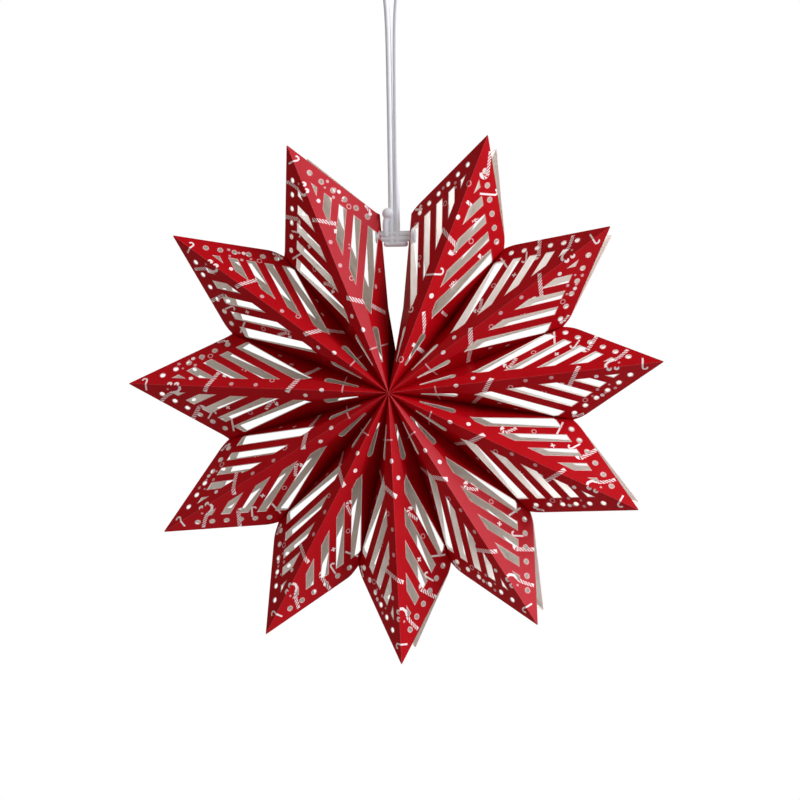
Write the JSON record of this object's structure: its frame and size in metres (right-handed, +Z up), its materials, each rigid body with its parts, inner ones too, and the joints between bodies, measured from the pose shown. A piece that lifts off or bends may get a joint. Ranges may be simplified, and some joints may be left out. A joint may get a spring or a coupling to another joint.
{
  "type": "folded card hanging star",
  "caption": "Folded card star with pointed pockets, slanted cut-outs and punched edges, fanned round its centre and hung by a looped cord",
  "frame": {"origin": "the point where the hanging loop bears on its hook; the star's own axis runs 242 mm below it and 2.6 mm to the right", "axes": "+Z up, +X to the right as seen from the front, the front looks along -Y"},
  "size_m": [0.2962, 0.0524, 0.3939],
  "materials": {
    "printed_card": "semi-gloss red printed card",
    "cord": "matt woven cord"
  },
  "bodies": {
    "root": {"pocket_01": "printed_card", "pocket_02": "printed_card", "pocket_03": "printed_card", "pocket_04": "printed_card", "pocket_05": "printed_card", "pocket_06": "printed_card", "pocket_07": "printed_card", "pocket_08": "printed_card", "pocket_09": "printed_card", "pocket_10": "printed_card", "pocket_11": "printed_card", "hanging_cord": "cord", "cord_hitch": "cord"}
  },
  "joints": []
}
